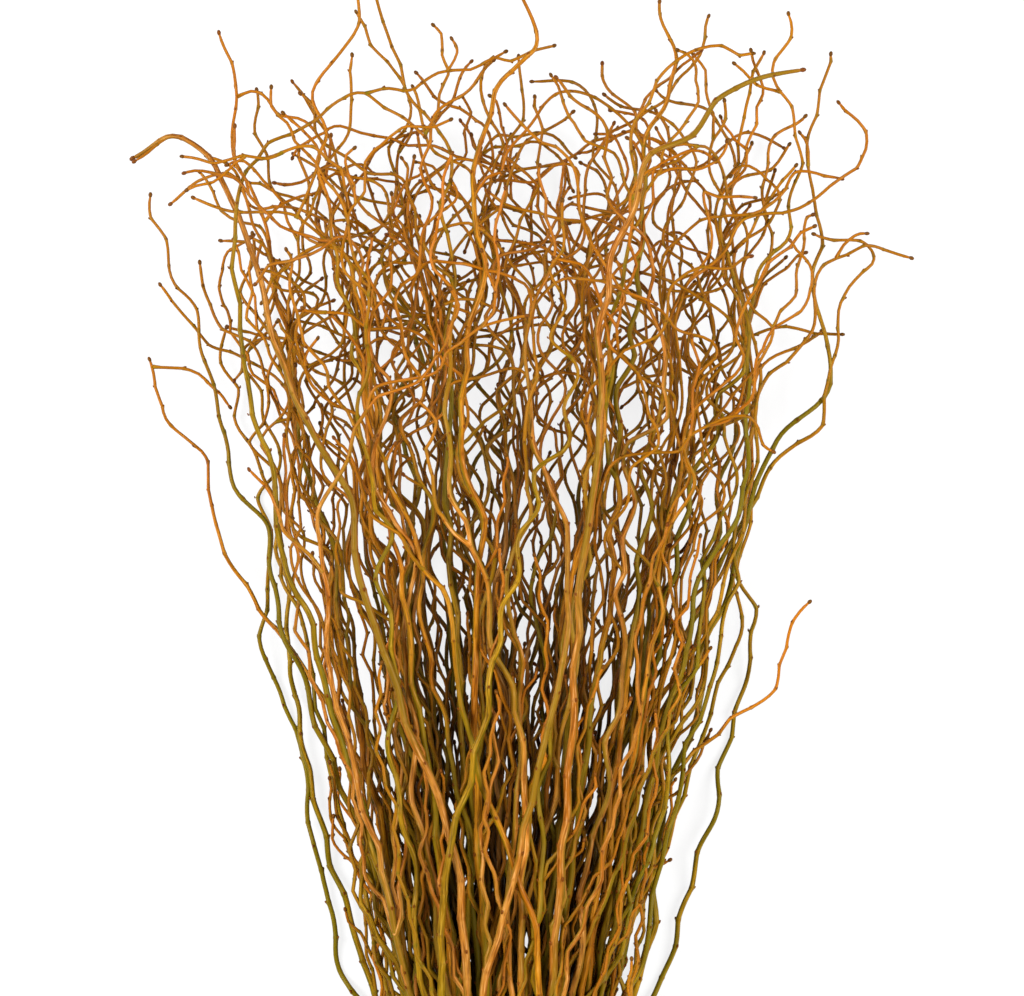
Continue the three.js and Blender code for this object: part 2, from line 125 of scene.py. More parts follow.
def shader_of(name, color=(1, 1, 1), roughness=0.5):
    """A new material and its shader node."""
    material = bpy.data.materials.new(name)
    material.use_nodes = True
    shader = material.node_tree.nodes["Principled BSDF"]
    shader.inputs["Base Color"].default_value = (*color, 1)
    shader.inputs["Roughness"].default_value = roughness
    return material, shader


floor_paint, floor_shader = shader_of("floor_paint", (0.13, 0.13, 0.13), 0.9)
floor_shader.inputs["Specular IOR Level"].default_value = 0.1
floor_shader.inputs["Emission Color"].default_value = (1, 1, 1, 1)
floor_shader.inputs["Emission Strength"].default_value = TABLE_GLOW
bpy.ops.mesh.primitive_plane_add(size=FLOOR_SIZE, location=(0, 0, 0))
floor = bpy.context.object
floor.name = "floor"
floor.data.materials.append(floor_paint)
floor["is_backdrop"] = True

bpy.ops.mesh.primitive_cylinder_add(
    radius=WALL_RADIUS,
    depth=WALL_HEIGHT,
    end_fill_type="NOTHING",
    vertices=96,
    location=(0, 0, WALL_HEIGHT / 2),
)
wall = bpy.context.object
wall.name = "wall"
wall.data.materials.append(floor_paint)
wall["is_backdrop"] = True
print("floor:", FLOOR_SIZE, "m, wall:", WALL_HEIGHT, "m high")

# %% Light
SKY_STRENGTH = 0.04
LAMP_POWER = {"left": 145, "right": 118, "front": 45}
LAMP_PLACES = {"left": (-1.9, 0.5, 2.1), "right": (2.0, 0.3, 2.0), "front": (0.4, -2.2, 2.6)}
LAMP_SIZE = 1.3

world = bpy.data.worlds.new("studio")
world.use_nodes = True
world.node_tree.nodes["Background"].inputs["Color"].default_value = (1, 1, 1, 1)
world.node_tree.nodes["Background"].inputs["Strength"].default_value = SKY_STRENGTH
bpy.context.scene.world = world

for side, power in LAMP_POWER.items():
    lamp = bpy.data.objects.new("lamp_" + side, bpy.data.lights.new("lamp_" + side, "AREA"))
    lamp.data.energy = power
    lamp.data.size = LAMP_SIZE
    lamp.location = LAMP_PLACES[side]
    lamp.rotation_euler = (-lamp.location).to_track_quat("-Z", "Y").to_euler()
    bpy.context.scene.collection.objects.link(lamp)
bpy.context.scene.view_settings.view_transform = "Standard"
print("sky:", SKY_STRENGTH, "lamps in watts:", LAMP_POWER)

# %% [markdown]
# ## Reading a stem's course from its solid
#
# Each solid is a row of four-cornered rings, far apart compared with their width. Corners that lie
# close together are one ring, so the rings' middles give the course, and their width gives the
# thickness. A ring with three neighbours is where a fork leaves the leader.

# %% Rings of a solid
RING_REACH = 20 * MM
CORNER = math.sqrt(math.pi / 2)  # a ring's corner distance for a round stem of radius 1


def rings_of(node):
    """Each ring's corners, and each ring's neighbouring rings."""
    solid = bmesh.new()
    solid.from_mesh(node.data)
    bmesh.ops.remove_doubles(solid, verts=solid.verts, dist=0.01 * MM)
    ring_of = {}
    for seed in solid.verts:
        waiting = [] if seed in ring_of else [seed]
        while waiting:
            corner = waiting.pop()
            ring_of[corner] = seed.index
            close = [e.other_vert(corner) for e in corner.link_edges if e.calc_length() < RING_REACH]
            waiting += [other for other in close if other not in ring_of]
    beside = {ring: set() for ring in ring_of.values()}
    corners = {ring: {} for ring in beside}
    for corner, ring in ring_of.items():
        others = {ring_of[e.other_vert(corner)] for e in corner.link_edges} - {ring}
        corners[ring][tuple(corner.co)] = others
        beside[ring] |= others
    solid.free()
    return corners, beside


# %% Leader and fork of a solid
def middle_and_radius(corners, towards=None):
    """A ring's middle and the round stem's radius there. Towards names the ring before it."""
    places = [place for place, others in corners.items() if towards is None or towards in others]
    places = np.array(places)
    middle = places.mean(axis=0)
    return middle, np.linalg.norm(places - middle, axis=1).mean() / CORNER


def grown_paths(beside, path):
    """Every way on from a path of rings to a tip."""
    onward = sorted(beside[path[-1]] - set(path))
    if not onward:
        return [path]
    return [whole for ring in onward for whole in grown_paths(beside, [*path, ring])]


def chains_of(node):
    """The leader and its forks, each as an array of middles and an array of radii."""
    corners, beside = rings_of(node)
    read = {ring: middle_and_radius(corners[ring]) for ring in beside}
    ends = [ring for ring, others in beside.items() if len(others) == 1]
    foot = min(ends, key=lambda ring: read[ring][0][1])
    leader = [foot]  # where the wood parts, the thicker way on is the leader
    while beside[leader[-1]] - set(leader):
        onward = beside[leader[-1]] - set(leader)
        leader.append(max(onward, key=lambda ring: read[ring][1]))
    chains = [leader]
    for path in grown_paths(beside, [foot]):
        parted = [k for k, ring in enumerate(path) if ring in leader][-1]
        if path != leader:
            chains.append(path[parted:])
            read[path[parted]] = middle_and_radius(corners[path[parted]], towards=path[parted - 1])
    made = []
    for path in chains:
        places, radii = zip(*(read[ring] for ring in path))
        radii = np.array(radii)
        if path is not leader:
            radii[0] = radii[1]
        made.append((np.array(places), radii))
    return made


stem_nodes = {name: node for name, node in sorted(frame["nodes"].items()) if name != "twine_tie"}
courses = {name: chains_of(node) for name, node in stem_nodes.items()}
print("stems:", len(courses), "rings in the longest:", max(len(c[0][0]) for c in courses.values()))

# %% [markdown]
# ## A smooth line through the rings
#
# The rings are joined with a curve that leaves each ring in the direction of its neighbours, which
# is a Hermite curve. It is sampled finely, so any place along it can be looked up.

# %% Smooth lines
FINE_STEP = 2 * MM


def smooth_line(places, radii):
    """Length along the line, place and radius, at fine steps."""
    gaps = np.linalg.norm(np.diff(places, axis=0), axis=1)
    at = np.concatenate([[0], np.cumsum(gaps)])
    slopes = np.gradient(places, at, axis=0)
    along = np.linspace(0, at[-1], int(at[-1] / FINE_STEP) + 1)
    k = np.clip(np.searchsorted(at, along, side="right") - 1, 0, len(gaps) - 1)
    gap = gaps[k][:, None]
    u = (along - at[k])[:, None] / gap
    line = (1 + 2 * u) * (1 - u) ** 2 * places[k] + u * (1 - u) ** 2 * gap * slopes[k]
    line += u * u * (3 - 2 * u) * places[k + 1] + u * u * (u - 1) * gap * slopes[k + 1]
    return along, line, np.interp(along, at, radii)


def looked_up(at, along, values):
    """Values at the given lengths, for single numbers or for places."""
    if values.ndim == 1:
        return np.interp(at, along, values)
    return np.stack([np.interp(at, along, column) for column in values.T], axis=1)


total = sum(smooth_line(*chain)[0][-1] for chains in courses.values() for chain in chains)
print("wood in metres:", round(total, 1))

# %% [markdown]
# ## Buds and kinks
#
# A willow shoot has a bud every few centimetres, each turned two fifths of a circle from the last.
# The shoot swells and changes direction slightly there, which is what makes the bark look alive. So
# the line is pushed out a little at every bud, and gets three close rings for the swelling.

# %% Buds along a line
BUD_TURN = 2 * math.pi * 2 / 5
STEP = 6 * MM
SWELLING = {-2.4 * MM: 1.01, 0: 1.12, 2.6 * MM: 1.03}
SCAR_SWELLING = 1.1  # a ring wider than this has the bud's scar on it
LEAST_STEP = 0.8 * MM
UP = np.array([0, 0, 1.0])


def unit(vectors):
    return vectors / np.maximum(np.linalg.norm(vectors, axis=-1, keepdims=True), 1e-9)


def sides_of(line):
    """Two directions across a line, at each of its points."""
    onward = unit(np.gradient(line, axis=0))
    across = unit(np.cross(onward, UP))
    return onward, across, np.cross(across, onward)


THIN_AND_THICK = (1.0 * MM, 3.2 * MM)  # radii, for the three rules below
BUD_SPACING = (19 * MM, 32 * MM)
KINK_REACH = (2.7 * MM, 1.4 * MM)
SWELLING_SHARE = (2.4, 1.0)
BARE_START = 6 * MM
BARE_TIP = 5 * MM


def by_thickness(radius, rule):
    return np.interp(radius, THIN_AND_THICK, rule)


def bud_places(chance, along, radii, start, end):
    """Uneven lengths along a line at which buds sit, closer together on thin wood."""
    places = []
    at = start + chance.uniform(4, 20) * MM
    while at < end:
        places.append(at)
        at += by_thickness(np.interp(at, along, radii), BUD_SPACING) * chance.uniform(0.7, 1.3)
    return np.array(places)


def knobbly(chance, along, line, radii, kinks=1.0, start=0.0):
    """The line with its kinks and swellings, and its buds as (length, place, way out, onward)."""
    buds = bud_places(chance, along, radii, start + BARE_START, along[-1] - BARE_TIP)
    bud_radii = looked_up(buds, along, radii)
    turn = chance.uniform(0, 2 * math.pi) + BUD_TURN * np.arange(len(buds))
    onward, across, over = (looked_up(buds, along, side) for side in sides_of(line))
    outward = unit(across * np.cos(turn)[:, None] + over * np.sin(turn)[:, None])
    reach = kinks * by_thickness(bud_radii, KINK_REACH) * chance.uniform(0.4, 1.3, len(buds))
    hold = np.concatenate([[0, start], buds, [along[-1]]])
    pushed = np.concatenate([np.zeros((2, 3)), outward * reach[:, None], np.zeros((1, 3))])
    rings = [buds + offset for offset in SWELLING]
    at = np.concatenate([np.arange(0, along[-1], STEP), [along[-1]], *rings])
    plain = np.ones(len(at) - len(SWELLING) * len(buds))
    swell = np.concatenate([plain, np.repeat(list(SWELLING.values()), len(buds))])
    order = np.argsort(at, kind="stable")
    at, swell = at[order], swell[order]
    apart = np.concatenate([[True], np.diff(at) > LEAST_STEP])
    at, swell = at[apart], swell[apart]
    places = looked_up(at, along, line) + looked_up(at, hold, pushed)
    wide = looked_up(at, along, radii)
    wide = wide * (1 + (swell - 1) * by_thickness(wide, SWELLING_SHARE))
    scar = (swell > SCAR_SWELLING).astype(float)
    bud_at = looked_up(buds, along, line) + outward * reach[:, None]
    wood = {"along": at, "places": places, "radii": wide, "scar": scar}
    return wood, (buds, bud_at, outward, onward)


print("bud turn in degrees:", round(math.degrees(BUD_TURN)))

# %% [markdown]
# ## The winding of curly willow
#
# Curly willow never grows straight: on top of its course it swings a few millimetres from side to
# side, further where the wood is thin. Two uneven waves do that. They start from nothing above the
# tie, where the stems are held together, and are widest in the crown.

# %% Sway
SWAY_REACH = (3.2 * MM, 0.9 * MM)  # on thin and on thick wood
SWAY_PACE = (52, 135)  # in mm
SWAY_LENGTHS = np.array([0, 160, 450, 800]) * MM  # past the tie
SWAY_SHARES = np.array([0, 0.45, 0.55, 1.0])


def swayed(chance, along, line, radii, start):
    """The line with its side-to-side winding. Start is where the tie ends, as a length along it."""
    _, across, over = sides_of(line)
    reach = by_thickness(radii, SWAY_REACH) * np.interp(along - start, SWAY_LENGTHS, SWAY_SHARES)
    moved = line.copy()
    for side, share in ((across, 1.0), (over, 0.5)):
        for pace in chance.uniform(*SWAY_PACE, 2) * MM:
            wave = np.sin(2 * math.pi * along / pace + chance.uniform(0, 6.28))
            moved += side * (share * reach * wave)[:, None]
    return moved


print("sway in mm:", [round(reach / MM, 1) for reach in SWAY_REACH])

# %% [markdown]
# ## The shape of the whole pile
#
# The fan widens from the tie to the crown and the pile gets higher. Twigs and the painted shade both
# need to know where its edge is. In the crown the stems hook into each other and hang together in
# bundles, with gaps between them. Bark on the inside of the pile is painted darker: painted shade, in
# place of the shadow that falls there.

# %% The fan's edge
FAN_HEIGHTS = np.array([0, 250, 450, 650, 850, 960, 1040]) * MM  # from the tie
FAN_WIDTHS = np.array([40, 95, 145, 200, 235, 245, 230]) * MM
TOP_ACROSS = np.array([-270, -190, -60, 60, 150, 250, 300]) * MM  # from the middle line
TOP_HEIGHTS = np.array([935, 1015, 1055, 1000, 1030, 1045, 960]) * MM
EDGE_SOFTNESS = 40 * MM
FAN_HEART = np.array([10, 780]) * MM


def strays(place):
    """How far outside the fan a place is, from 0 at its edge to 1 well outside it."""
    across, up = place[0] - tie_middle[0], place[1] - tie_middle[1]
    beside = abs(across) - np.interp(up, FAN_HEIGHTS, FAN_WIDTHS)
    above = up - np.interp(across, TOP_ACROSS, TOP_HEIGHTS)
    return min(max(max(beside, above) / EDGE_SOFTNESS, 0), 1)


def pile_top(y):
    """How high the pile stands, growing from the tie to the crown."""
    share = max(y - tie_middle[1], 0) / (cad_high.y - tie_middle[1])
    return tie_high[2] + (cad_high.z - tie_high[2]) * share


print("half the fan's width in mm:", (FAN_WIDTHS / MM).round().tolist())

# %% Bundles, and painted shade inside the pile
CLING = 6.2 * MM
BUNDLE_WIDTH = 66 * MM
CLING_HEIGHTS = np.array([430, 680, 760, 960]) * MM  # above the tie, where the bundles form and end
CLING_SHARES = np.array([0.0, 1.0, 1.0, 0.25])
# Up the bunch from the tie, how strongly bark deep in the pile is darkened with painted shade.
PAINTED_SHADE_HEIGHTS = np.array([20, 150, 300, 600, 900]) * MM
PAINTED_SHADE_SHARES = np.array([0.0, 0.8, 1.0, 0.6, 0.12])


def clinging(x, y):
    """Stems hook into each other in the crown, so they draw together sideways into bundles."""
    up = y - tie_middle[1]
    phase = 2 * math.pi * (x - tie_middle[0]) / BUNDLE_WIDTH + 1.7 * math.sin(up / (68 * MM))
    return x - CLING * np.interp(up, CLING_HEIGHTS, CLING_SHARES) * math.sin(phase)


def painted_shade_share(x, y, z):
    """How much painted shade the bark gets here, from how deep in the pile a place is: 0 on its outside and
    1 deep in its lower middle.
    """
    up = y - tie_middle[1]
    beside = 1.8 * (1 - abs(x - tie_middle[0]) / np.interp(up, FAN_HEIGHTS, FAN_WIDTHS))
    below = 2.8 * (0.9 - z / pile_top(y))
    return min(max(beside, 0), 1) * min(max(below, 0), 1) * np.interp(up, PAINTED_SHADE_HEIGHTS, PAINTED_SHADE_SHARES)


print("bundles in mm:", round(BUNDLE_WIDTH / MM))

# %% [markdown]
# ## A skeleton for each stem
#
# A stem's lines and buds are collected as one mesh of edges and loose points. Every point carries
# what the bark needs to know, such as the radius, the length along the stem and whether a bud sits
# there. Geometry Nodes turn that skeleton into round wood later.

# %% Skeleton
NUMBERS = ("thickness", "along", "scar", "core", "tone", "is_bud", "inner")
VECTORS = ("bud_way", "bud_scale")


class Skeleton:
    """One stem's edges and loose points, with what the bark needs at each of them."""

    def __init__(self, tone):
        self.tone = tone
        self.points, self.edges = [], []
        self.values = {key: [] for key in NUMBERS + VECTORS}

    def add(self, place, **values):
        x, y, z = place
        x = clinging(x, y)
        self.points.append((x, y, max(z, values["thickness"])))  # wood lies on the floor, not in it
        # The share of painted shade, which darkens the bark deep in the pile.
        values["inner"] = painted_shade_share(x, y, z)
        for key in NUMBERS:
            self.values[key].append(float(values.get(key, self.tone if key == "tone" else 0)))
        for key in VECTORS:
            self.values[key].append(tuple(values.get(key, (0, 0, 0))))

    def add_line(self, along, places, radii, scar, core=None, tone=None):
        first = len(self.points)
        core = np.ones(len(along)) if core is None else core
        tone = self.tone if tone is None else tone
        for at, place, radius, mark, depth in zip(along, places, radii, scar, core):
            self.add(place, along=at, thickness=radius, scar=mark, core=depth, tone=tone)
        self.edges += [(i, i + 1) for i in range(first, len(self.points) - 1)]

    def add_bud(self, place, way, width, length, tone=None):
        tone = self.tone if tone is None else tone
        self.add(place, is_bud=1, scar=1, core=1, tone=tone, thickness=width,
                 bud_way=way, bud_scale=(width, width, length))

    def mesh(self, name):
        mesh = bpy.data.meshes.new(name)
        mesh.from_pydata(self.points, self.edges, [])
        for key in NUMBERS:
            mesh.attributes.new(key, "FLOAT", "POINT").data.foreach_set("value", self.values[key])
        for key in VECTORS:
            flat = np.array(self.values[key]).ravel()
            mesh.attributes.new(key, "FLOAT_VECTOR", "POINT").data.foreach_set("vector", flat)
        return mesh


print("a skeleton's point holds:", NUMBERS + VECTORS)

# %% [markdown]
# ## Twigs
#
# A side twig leaves at a bud, at a narrow angle, and winds as it grows. Its direction swings with two
# uneven waves, jumps slightly at every bud of its own, and is drawn back to the way the whole fan
# grows. Near the top nothing holds it, so it arches over. Twigs that stray past the edge of the fan
# turn back, as the mass of the crown does.

# %% Growing a twig
TWIG_STEP = 5 * MM
STEERING = 34  # how hard a stray twig turns back, as the inverse of its bend's radius in metres
FLOW = 17  # how hard a twig is drawn to the fan's own direction, likewise
ARCHING = (820 * MM, 960 * MM)  # above the tie, where that pull fades
TWIG_PACES = ((75, 120), (150, 260))  # in mm, for its two waves
CURL = (0.3, 2.6)  # how far a long twig's tip curls over
CURLED_LENGTH = 130 * MM  # a shorter twig curls less
KNEES = (0.18, 0.58)  # its turn at each bud, in radians
KNEE_STEPS = (12, 23)  # in mm


def twig_line(chance, start, way, length, winding):
    """Places along a twig that starts in the direction way."""
    heading = math.atan2(way[0], way[1])
    rise = way[2]
    waves = [(chance.uniform(0.4, 1) * winding, chance.uniform(*pace) * MM, chance.uniform(0, 6.28))
             for pace in TWIG_PACES]
    curl = chance.choice([-1, 1]) * chance.uniform(*CURL) * min(length / CURLED_LENGTH, 1)
    side = chance.choice([-1, 1])
    place = np.array(start, float)
    places = [place.copy()]
    next_bud = chance.uniform(12, 22) * MM
    rank = place[2] / pile_top(place[1])
    wander = chance.uniform(-10, 10) * MM
    for along in np.arange(TWIG_STEP, length, TWIG_STEP):
        turn = sum(size * math.sin(2 * math.pi * along / pace + phase) for size, pace, phase in waves)
        up = place[1] - tie_middle[1]
        held = 1 - min(max((up - ARCHING[0]) / (ARCHING[1] - ARCHING[0]), 0), 1)
        turn += FLOW * held * math.sin(0.7 * math.atan2(place[0] - tie_middle[0], up) - heading)
        turn += curl * 3 * (along / length) ** 2 / length * (1.15 - held)
        home = tie_middle[:2] + FAN_HEART - place[:2]
        turn += STEERING * math.sin(math.atan2(home[0], home[1]) - heading) * strays(place)
        heading += turn * TWIG_STEP
        if along > next_bud:
            heading += side * chance.uniform(*KNEES)
            side = -side
            next_bud = along + chance.uniform(*KNEE_STEPS) * MM
        level = rank * pile_top(place[1]) + wander * min(along / (60 * MM), 1)
        rise = rise * 0.85 + 0.15 * (level - place[2]) / (40 * MM)
        place += TWIG_STEP * unit(np.array([math.sin(heading), math.cos(heading), rise]))
        places.append(place.copy())
    return np.array(places)


EDGE_ROOM = 4 * MM
FENCE = 0.6  # how far a twig may stray from the fan
BROKEN_SHARE = 0.7  # a twig that keeps less of its length is left out


def inside(line, radius, fenced):
    """The line as far as it stays in the bunch's box and, if fenced, in the fan; and off the floor."""
    low, high = np.array(cad_low) - EDGE_ROOM, np.array(cad_high) + EDGE_ROOM
    kept = np.all((line[:, :2] > low[:2]) & (line[:, :2] < high[:2]), axis=1)
    if fenced:
        kept &= np.array([strays(place) < FENCE for place in line])
    end = len(line) if kept.all() else int(np.argmin(kept))
    line = line[:end]
    line[:, 2] = np.clip(line[:, 2], radius, high[2] - radius)
    return line


# %% Adding a twig to a skeleton
TWIG_TIP = 1.25 * MM
WINDING = 13.0  # the inverse of the tightest bend's radius in metres
YOUNG_LENGTHS = (30, 95)  # in mm, of a twig's own side twigs


def add_bud_row(chance, skeleton, buds, radii_at, tone, size):
    """A small pointed bud at each place, leaning along the wood."""
    _, places, outward, onward = buds
    for place, out, on, radius in zip(places, outward, onward, radii_at):
        width = size * chance.uniform(0.75, 1.15) * (0.26 * radius + 0.42 * MM)
        way = unit(on + 0.4 * out)
        skeleton.add_bud(place + out * radius * 0.97 + way * width * 0.7, way, width, width * 1.9, tone)


def add_twig(chance, skeleton, line, base, tip, along=0.0, young=0, fenced=True):
    """A twig along a line, with its collar, buds and knobbed tip, and perhaps twigs of its own."""
    grown = inside(line, base, fenced)
    if len(grown) < max(4, BROKEN_SHARE * len(line)):
        return  # it would have been broken off at the fan's edge
    line = grown
    fine_along, fine, radii = smooth_line(line, np.linspace(base, tip, len(line)))
    wood, buds = knobbly(chance, fine_along, fine, radii, 0.5)
    collar = 1 + 0.45 * np.exp(-((wood["along"] / (4 * MM)) ** 2))
    wood["radii"] = wood["radii"] * collar
    wood["radii"][-1] *= 0.7
    tone = skeleton.tone + chance.uniform(-0.1, 0.1)
    skeleton.add_line(wood["along"] + along, wood["places"], wood["radii"], wood["scar"], tone=tone)
    add_bud_row(chance, skeleton, buds, looked_up(buds[0], fine_along, radii), tone, 1.0)
    end_way = unit(fine[-1] - fine[-4])
    skeleton.add_bud(fine[-1] + end_way * tip * 0.6, end_way, tip * 1.45, tip * 2.0, tone)
    for _ in range(young):
        k = int(chance.uniform(0.25, 0.85) * (len(fine) - 2))
        onward = unit(fine[k + 1] - fine[k])
        aside = unit(np.cross(onward, UP)) * chance.choice([-1, 1])
        way = unit(onward + aside * chance.uniform(0.5, 0.9))
        side_line = twig_line(chance, fine[k], way, chance.uniform(*YOUNG_LENGTHS) * MM, WINDING)
        add_twig(chance, skeleton, side_line, radii[k] * 0.85, TWIG_TIP, fine_along[k] + along)


print("twigs turn back within", round(1000 / STEERING), "mm")

# %% [markdown]
# ## Growing a whole stem
#
# The leader starts with a clean cut, and each fork starts inside the leader, with a thick collar.
# Low down the wood carries short thin spurs, and a few long slender shoots run up from it. In the
# crown it carries long winding twigs, fewer on the stems that stand free at the edges.

# %% Leader, fork and twigs of one stem
THINNEST = 1.35 * MM  # a leader's least radius, just under its tip bud
TWIG_SHARE = (0.035, 0.058)  # how many buds have grown a twig, low down and in the crown
BUSHY = (0.2, 1.9)  # one leader or fork has more of them than another
BARE_LENGTH = 110 * MM  # twigs are stripped off above the tie
CROWN_START = 520 * MM  # above the tie
CROWN_ACROSS = np.array([-200, -90, -10, 50, 130, 220]) * MM  # from the middle line
CROWN_FULLNESS = np.array([0.7, 1.9, 1.0, 0.3, 1.4, 0.8])
CROWN_RISE = 320 * MM  # over which the crown's twigs become as many as they get
SPUR_LENGTHS = (8, 45)  # in mm
CROWN_TWIG_LENGTHS = (80, 150)  # in mm
LONGER_ON_TOP = 90  # in mm
# The rings of a cut face, as the shift onward in mm, the share of the radius and the core.
CUT_RINGS = ((0.0, 0.03, 0.0), (0.05, 0.45, 0.45), (0.1, 0.8, 0.8), (0.15, 0.93, 0.93), (0.5, 1.0, 1.0))


def crown_share(place):
    up = place[1] - tie_middle[1] - CROWN_START
    return float(np.clip(up / CROWN_RISE, 0, 1))


def thick_crown(place):
    """How full of twigs the crown is here: it has two thick halves, with fewer between them."""
    return np.interp(place[0] - tie_middle[0], CROWN_ACROSS, CROWN_FULLNESS)


def with_cut_end(wood):
    """Adds the rings of a flat cut face before the first ring. Core is 0 at its middle."""
    onward = unit(wood["places"][1] - wood["places"][0])
    shift, share, core = (np.array(column) for column in zip(*CUT_RINGS))
    wood["places"] = np.concatenate([wood["places"][0] + onward * shift[:, None] * MM, wood["places"][1:]])
    wood["radii"] = np.concatenate([wood["radii"][0] * share, wood["radii"][1:]])
    wood["along"] = np.concatenate([shift * MM, wood["along"][1:]])
    wood["scar"] = np.concatenate([np.zeros(len(shift)), wood["scar"][1:]])
    wood["core"] = np.concatenate([core, np.ones(len(wood["places"]) - len(shift))])
    return wood


def add_twigs(chance, skeleton, along, line, radii, buds, before):
    """Twigs from some of the buds: spurs low down, long winding ones in the crown."""
    bushy = chance.uniform(*BUSHY)
    for at, place, out, on in zip(*buds):
        crown = crown_share(place)
        free = strays(place)
        likely = TWIG_SHARE[0] + (TWIG_SHARE[1] - TWIG_SHARE[0]) * crown * thick_crown(place)
        if place[1] < tie_high[1] + BARE_LENGTH or chance.random() > bushy * likely * (1 - free):
            continue
        radius = looked_up(np.array([at]), along, radii)[0]
        flat = unit(np.array([out[0], out[1], out[2] * 0.35]))
        way = unit(on + flat * chance.uniform(0.4, 0.85))
        if chance.random() < 0.3 + 0.5 * crown:
            length = chance.uniform(CROWN_TWIG_LENGTHS[0], CROWN_TWIG_LENGTHS[1] + LONGER_ON_TOP * crown)
            base = min(0.9 * radius, 2.1 * MM)
            young = int(chance.integers(0, 1 + round(crown)))
        else:
            length = chance.uniform(*SPUR_LENGTHS)
            base = min(0.5 * radius, 1.2 * MM)
            young = 0
        twig = twig_line(chance, place, way, length * MM, WINDING)
        add_twig(chance, skeleton, twig, max(base, THINNEST), TWIG_TIP, at + before, young)


LONG_SHOOTS = (3, 0)  # on a leader and on a fork
LONG_SHOOT_LENGTHS = (160, 520)  # in mm
LONG_SHOOT_RADII = (1.6, 2.3)  # in mm
LONG_SHOOT_WINDING = 7.0
LOW_WOOD = 300 * MM  # long shoots start on this much wood above the tie


def add_long_shoots(chance, skeleton, buds, before, count):
    """Long slender shoots that run up among the stems."""
    low = np.flatnonzero(buds[1][:, 1] < tie_high[1] + LOW_WOOD)
    for k in chance.choice(low, min(count, len(low)), replace=False):
        at, place, out, on = (part[k] for part in buds)
        way = unit(on + np.array([out[0], out[1], 0.3 * out[2]]) * chance.uniform(0.1, 0.3))
        length = chance.uniform(*LONG_SHOOT_LENGTHS) * MM
        shoot = twig_line(chance, place, way, length, LONG_SHOOT_WINDING)
        add_twig(chance, skeleton, shoot, chance.uniform(*LONG_SHOOT_RADII) * MM, TWIG_TIP, at + before)


# Twigs that are listed one by one, because they stand clear of the rest. Each course is in mm, across the
# bunch from its middle line and up it from the tie.
CLEAR_TWIGS = {
    "stem_kinked_left": [[(-296, 792), (-270, 784), (-256, 772), (-240, 764), (-232, 756)]],
    "stem_arching_over_left": [[(-282, 980), (-293, 975), (-303, 966), (-311, 960)]],
    "stem_tall_left": [
        [(-235, 1018), (-217, 1022), (-203, 1017), (-190, 1003), (-174, 999), (-160, 984), (-150, 962)],
        [(-206, 912), (-190, 925), (-176, 934), (-158, 940), (-150, 962), (-148, 985)],
    ],
    "stem_reaching_left": [[(-178, 908), (-170, 930), (-160, 952), (-158, 968), (-170, 985), (-185, 1000)]],
    "stem_tall_right": [
        [(116, 972), (104, 990), (86, 1009), (60, 1020), (44, 1019), (24, 996), (5, 971), (-2, 948)],
    ],
    "stem_outer_right": [[(276, 1036), (283, 1046), (281, 1058)]],
    "stem_tall_outer_right": [[(233, 1022), (215, 1028), (204, 1040), (196, 1046)]],
    "stem_hooked_right": [[(286, 880), (290, 895), (300, 903), (306, 903)]],
}


def add_clear_twigs(chance, skeleton, name, line):
    for course in CLEAR_TWIGS.get(name, []):
        course = np.array(course, float) * MM + tie_middle[:2]
        nearest = line[np.linalg.norm(line[:, :2] - course[0], axis=1).argmin()]
        course[0] = nearest[:2]
        places = np.column_stack([course, np.full(len(course), nearest[2])])
        add_twig(chance, skeleton, places, THINNEST, TWIG_TIP, fenced=False)


FORK_BLEND = 50 * MM  # a fork's first centimetres stay on the leader
COLLAR_LENGTH = 14 * MM
FIRST_SEED = 4100


def length_before(name, place):
    """The length along a stem's leader at which a fork starts."""
    leader = courses[name][0][0]
    nearest = np.linalg.norm(leader - place, axis=1).argmin()
    lengths = np.cumsum(np.linalg.norm(np.diff(leader, axis=0), axis=1))
    return lengths[max(nearest - 1, 0)]


def stem_skeleton(name, number):
    """A whole stem: its leader, then its forks, each with its buds, twigs and shoots."""
    chance = np.random.default_rng(FIRST_SEED + number)
    skeleton = Skeleton(chance.uniform(0, 1))
    before = 0.0
    for order, (places, radii) in enumerate(courses[name]):
        along, line, fine_radii = smooth_line(places, radii)
        tie_end = tie_high[1] - places[0][1]
        fine_radii = np.maximum(fine_radii, THINNEST)
        line = swayed(chance, along, line, fine_radii, tie_end)
        if order == 0:
            leader_line = line
        else:
            root = leader_line[np.linalg.norm(leader_line - line[0], axis=1).argmin()]
            line += (root - line[0]) * np.exp(-along / FORK_BLEND)[:, None]
        wood, buds = knobbly(chance, along, line, fine_radii, 1.0, max(tie_end, 0))
        wood["places"][:, 2] = np.maximum(wood["places"][:, 2], wood["radii"])
        if order == 0:
            wood = with_cut_end(wood)
        else:
            wood["radii"] *= 1 + 0.35 * np.exp(-((wood["along"] / COLLAR_LENGTH) ** 2))
            before = length_before(name, places[0])
        wood["radii"][-1] *= 0.7
        tone = skeleton.tone + 0.07 * order
        lengths = wood["along"] + before
        skeleton.add_line(lengths, wood["places"], wood["radii"], wood["scar"], wood.get("core"), tone)
        radii_at = looked_up(buds[0], along, fine_radii)
        add_bud_row(chance, skeleton, buds, radii_at, tone, 0.9)
        end_way = unit(line[-1] - line[-4])
        tip = fine_radii[-1]
        skeleton.add_bud(line[-1] + end_way * tip * 0.5, end_way, tip * 1.35, tip * 1.9, tone)
        add_twigs(chance, skeleton, along, line, fine_radii, buds, before)
        add_long_shoots(chance, skeleton, buds, before, LONG_SHOOTS[min(order, 1)])
        if order == 0:
            add_clear_twigs(chance, skeleton, name, line)
    return skeleton


skeletons = {name: stem_skeleton(name, i) for i, name in enumerate(courses)}
print("skeleton points:", sum(len(s.points) for s in skeletons.values()))
